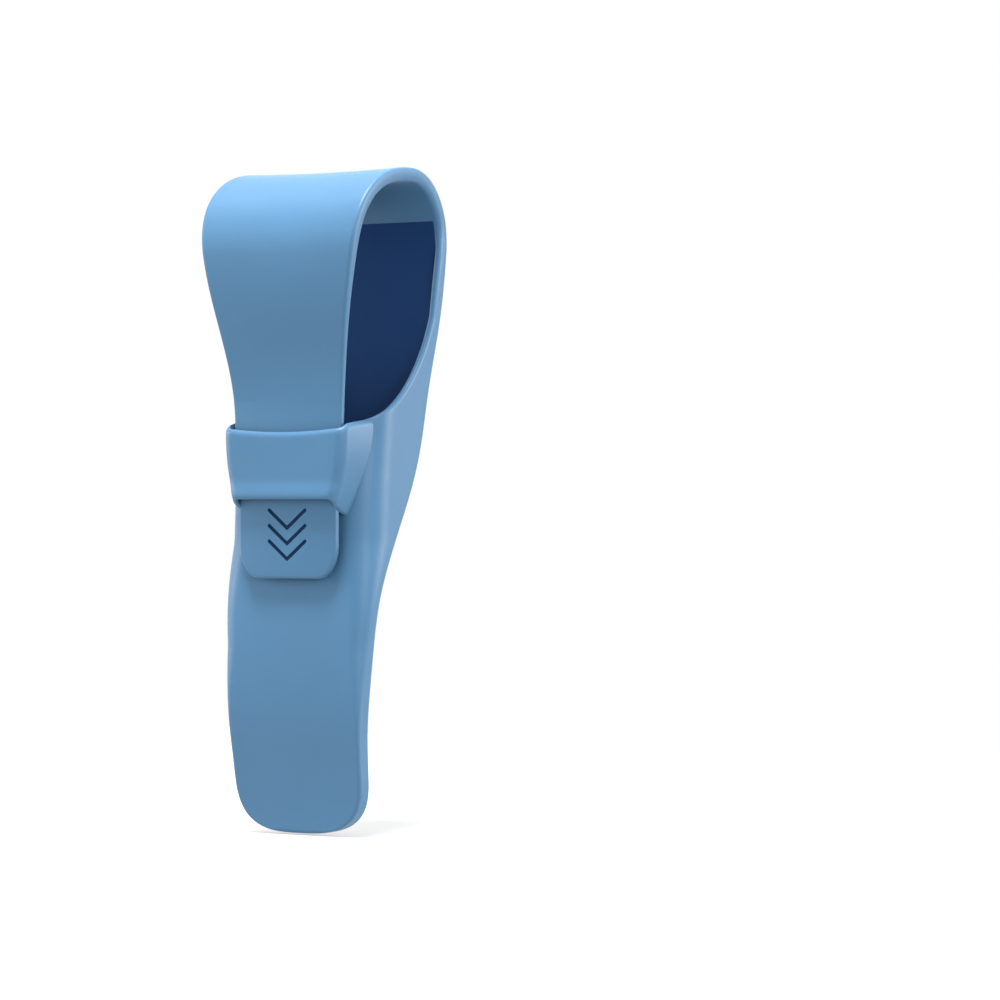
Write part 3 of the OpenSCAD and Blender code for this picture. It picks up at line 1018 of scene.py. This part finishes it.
# %% [markdown]
# ## Chevron grooves
# Three chevrons point down the tab. They are the same groove repeated at one pitch, which is
# what Geometry Nodes does well: two straight limbs become one bar with round ends, and a line
# of points repeats it. A painted mark would be quicker, but the bars are cut out of the tab
# with a boolean, so the grooves are real hollows that catch the light. The walls of the cut
# also take a darker copy of the silicone, which paints extra shade in the grooves.

# %% Geometry Nodes tree that makes the groove cutters
def chevron_tree():
    """The tree that makes a column of chevron-shaped bars, with its sizes as inputs."""
    tree = bpy.data.node_groups.new("chevron_grooves", "GeometryNodeTree")
    face = tree.interface
    face.new_socket("Count", in_out="INPUT", socket_type="NodeSocketInt")
    for name in ("Pitch", "Arm", "Fall", "Radius"):
        face.new_socket(name, in_out="INPUT", socket_type="NodeSocketFloat")
    face.new_socket("Top", in_out="INPUT", socket_type="NodeSocketVector")
    face.new_socket("Painted_Groove_Shade", in_out="INPUT", socket_type="NodeSocketMaterial")
    face.new_socket("Geometry", in_out="OUTPUT", socket_type="NodeSocketGeometry")
    nodes, links = tree.nodes, tree.links
    given, result = nodes.new("NodeGroupInput"), nodes.new("NodeGroupOutput")

    def vector(**parts):
        node = nodes.new("ShaderNodeCombineXYZ")
        for axis, socket in parts.items():
            links.new(socket, node.inputs[axis])
        return node.outputs[0]

    def times(socket, factor):
        node = nodes.new("ShaderNodeMath")
        node.operation = "MULTIPLY"
        links.new(socket, node.inputs[0])
        node.inputs[1].default_value = factor
        return node.outputs[0]

    arm, fall = given.outputs["Arm"], given.outputs["Fall"]
    point = vector(Z=times(fall, -1))
    bent = nodes.new("GeometryNodeJoinGeometry")
    for side in (-1, 1):
        limb = nodes.new("GeometryNodeCurvePrimitiveLine")
        links.new(vector(X=times(arm, side)), limb.inputs["Start"])
        links.new(point, limb.inputs["End"])
        links.new(limb.outputs["Curve"], bent.inputs[0])
    circle = nodes.new("GeometryNodeCurvePrimitiveCircle")
    circle.inputs["Resolution"].default_value = 20
    links.new(given.outputs["Radius"], circle.inputs["Radius"])
    bar = nodes.new("GeometryNodeCurveToMesh")
    bar.inputs["Fill Caps"].default_value = True
    links.new(bent.outputs[0], bar.inputs["Curve"])
    links.new(circle.outputs["Curve"], bar.inputs["Profile Curve"])

    ball = nodes.new("GeometryNodeMeshUVSphere")
    ball.inputs["Segments"].default_value = 20
    ball.inputs["Rings"].default_value = 10
    links.new(given.outputs["Radius"], ball.inputs["Radius"])
    ends = nodes.new("GeometryNodeCurveToPoints")
    ends.mode = "EVALUATED"
    links.new(bent.outputs[0], ends.inputs["Curve"])
    balls = nodes.new("GeometryNodeInstanceOnPoints")
    links.new(ends.outputs["Points"], balls.inputs["Points"])
    links.new(ball.outputs["Mesh"], balls.inputs["Instance"])
    one = nodes.new("GeometryNodeJoinGeometry")
    links.new(bar.outputs["Mesh"], one.inputs[0])
    links.new(balls.outputs["Instances"], one.inputs[0])

    spread = nodes.new("GeometryNodeMeshLine")
    links.new(given.outputs["Count"], spread.inputs["Count"])
    links.new(given.outputs["Top"], spread.inputs["Start Location"])
    links.new(vector(Z=times(given.outputs["Pitch"], -1)), spread.inputs["Offset"])
    copies = nodes.new("GeometryNodeInstanceOnPoints")
    links.new(spread.outputs["Mesh"], copies.inputs["Points"])
    links.new(one.outputs[0], copies.inputs["Instance"])
    real = nodes.new("GeometryNodeRealizeInstances")
    links.new(copies.outputs["Instances"], real.inputs[0])
    # The cutters carry the darker groove material, which paints shade on the groove walls.
    paint = nodes.new("GeometryNodeSetMaterial")
    links.new(real.outputs[0], paint.inputs["Geometry"])
    links.new(given.outputs["Painted_Groove_Shade"], paint.inputs["Material"])
    links.new(paint.outputs[0], result.inputs[0])
    return tree


# %% Sizes of the chevrons
GROOVE_R = 0.5
GROOVE_SUNK = 0.1
CHEVRON_DROP = 3.4
groove_values = {
    "Count": 3,
    "Pitch": 4.0 / MM,
    "Arm": 5.5 / MM,
    "Fall": 4.6 / MM,
    "Radius": GROOVE_R / MM,
    "Top": place(0, strap_y - tab_t / 2 + GROOVE_SUNK, keeper_bottom_z - CHEVRON_DROP),
    "Painted_Groove_Shade": painted_groove_shade,
}
print("chevrons", {name: round(groove_values[name] * MM, 2) for name in ("Pitch", "Arm", "Fall", "Radius")})


# %% Make the cutters
def evaluated_mesh(piece):
    """A plain mesh of a piece with its modifiers applied."""
    depsgraph = bpy.context.evaluated_depsgraph_get()
    return bpy.data.meshes.new_from_object(piece.evaluated_get(depsgraph), depsgraph=depsgraph)


cutter = bpy.data.objects.new("chevron_cutter", bpy.data.meshes.new("chevron_cutter"))
bpy.context.scene.collection.objects.link(cutter)
tree = chevron_tree()
maker = cutter.modifiers.new("chevrons", "NODES")
maker.node_group = tree
for item in tree.interface.items_tree:
    if item.in_out == "INPUT":
        maker[item.identifier] = groove_values[item.name]
cutter_mesh = evaluated_mesh(cutter)
cutter.modifiers.clear()
cutter.data = cutter_mesh
print("cutters have", len(cutter_mesh.polygons), "faces")

# %% Cut the chevrons out of the tab
cut = tab_piece.modifiers.new("cut", "BOOLEAN")
cut.object = cutter
cut.operation = "DIFFERENCE"
cut.solver = "EXACT"
cut.use_self = True
# The cut walls take the cutter's darker material: painted shade in the grooves.
cut.material_mode = "TRANSFER"
tab_mesh = evaluated_mesh(tab_piece)
tab_piece.modifiers.clear()
tab_piece.data = tab_mesh
tab_mesh.set_sharp_from_angle(angle=math.radians(40))
bpy.data.objects.remove(cutter)
print("tab has", len(tab_mesh.polygons), "faces after", groove_values["Count"], "grooves")
across_joint(tab_piece, len(cuts) - 1)
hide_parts("pull_tab")

# %% [markdown]
# ## Floor
# The sheath stands on a plain pale floor under an even white sky. The floor gives a little
# light of its own, so it looks as white as the sky and its far edge doesn't show, while it
# still takes a soft shadow. The Standard view keeps the white of the sky a clean white.

# %% The pale floor
bpy.context.scene.view_settings.view_transform = "Standard"
pale = bpy.data.materials.new("pale_floor")
pale.use_nodes = True
paper = pale.node_tree.nodes["Principled BSDF"].inputs
paper["Base Color"].default_value = (0.25, 0.25, 0.25, 1)
paper["Roughness"].default_value = 0.9
paper["Emission Color"].default_value = (1, 1, 1, 1)
paper["Emission Strength"].default_value = 0.5
FLOOR_GAP = 0.0005
FLOOR_REACH = 0.35
floor_z = cad_low.z - FLOOR_GAP
floor_corners = [(x * FLOOR_REACH, y * FLOOR_REACH, floor_z)
                 for x, y in ((-1, -1), (1, -1), (1, 1), (-1, 1))]
floor_mesh = bpy.data.meshes.new("floor")
floor_mesh.from_pydata(floor_corners, [], [range(4)])
floor_mesh.materials.append(pale)
floor = bpy.data.objects.new("floor", floor_mesh)
bpy.context.scene.collection.objects.link(floor)
print("floor at", round(floor_z, 4), "m")

# %% [markdown]
# ## Lights
# Matt silicone shows its shape by broad, soft changes of tone. So the light comes from large
# squares: a strong one above, which brightens the top of the hood, a weak one by the camera,
# and one at each side to open the edges. Each square is turned to face the sheath.

# %% Soft lights
world = bpy.context.scene.world or bpy.data.worlds.new("studio")
bpy.context.scene.world = world
world.use_nodes = True
world.node_tree.nodes["Background"].inputs["Color"].default_value = (1, 1, 1, 1)
world.node_tree.nodes["Background"].inputs["Strength"].default_value = 1.0
centre = (cad_low + cad_high) / 2
VIEW_AZIMUTH = math.radians(33)
to_camera = Vector((math.sin(VIEW_AZIMUTH), -math.cos(VIEW_AZIMUTH), 0))
to_right = Vector((math.cos(VIEW_AZIMUTH), math.sin(VIEW_AZIMUTH), 0))


def softbox(name, offset, width, power):
    """A square lamp at an offset from the middle of the sheath, turned to face it."""
    lamp = bpy.data.lights.new(name, "AREA")
    lamp.shape = "SQUARE"
    lamp.size = width
    lamp.energy = power
    holder = bpy.data.objects.new(name, lamp)
    bpy.context.scene.collection.objects.link(holder)
    holder.location = centre + offset
    holder.rotation_mode = "QUATERNION"
    holder.rotation_quaternion = (-offset).to_track_quat("-Z", "Y")


softbox("top_light", Vector((0, -0.2, 0.9)), 0.35, 26)
softbox("key_light", to_right * 0.35 + to_camera * 0.9 + Vector((0, 0, 0.25)), 0.3, 4)
softbox("right_light", to_right * 0.9 + Vector((0, 0, 0.2)), 0.4, 8)
softbox("left_light", -to_right * 0.85 - to_camera * 0.2 + Vector((0, 0, 0.25)), 0.5, 5)

# %% [markdown]
# ## Camera
# The camera stands level with the middle of the sheath, well back, 33 degrees to the right of
# the front. A long lens keeps the upright edges nearly parallel. The camera is then turned to
# the right, so that the sheath stands in the left part of the view.

# %% Camera
DISTANCE = 0.95
VIEW_WIDTH = 257.533
LEFT_SHARE = 0.175
FILM_WIDTH = 36
CAMERA_H = 86.1
AIM_RIGHT = 9.53
STRAP_PLANE_Y = -22.0
axis_point = Vector((0, STRAP_PLANE_Y, 0)) / MM + to_right * AIM_RIGHT / MM
camera_z = CAMERA_H / MM + cad_low.z
yaw = math.atan(LEFT_SHARE * VIEW_WIDTH / (DISTANCE * MM))
camera = bpy.data.objects.new("camera", bpy.data.cameras.new("camera"))
bpy.context.scene.collection.objects.link(camera)
camera.location = Vector((axis_point.x, axis_point.y, camera_z)) + to_camera * DISTANCE
looking = -to_camera * math.cos(yaw) + to_right * math.sin(yaw)
camera.rotation_mode = "QUATERNION"
camera.rotation_quaternion = looking.to_track_quat("-Z", "Y")
camera.data.sensor_width = FILM_WIDTH
camera.data.lens = FILM_WIDTH * DISTANCE * MM / VIEW_WIDTH
camera.data.clip_start = 0.01
bpy.context.scene.camera = camera
print("camera at", [round(v, 3) for v in camera.location])
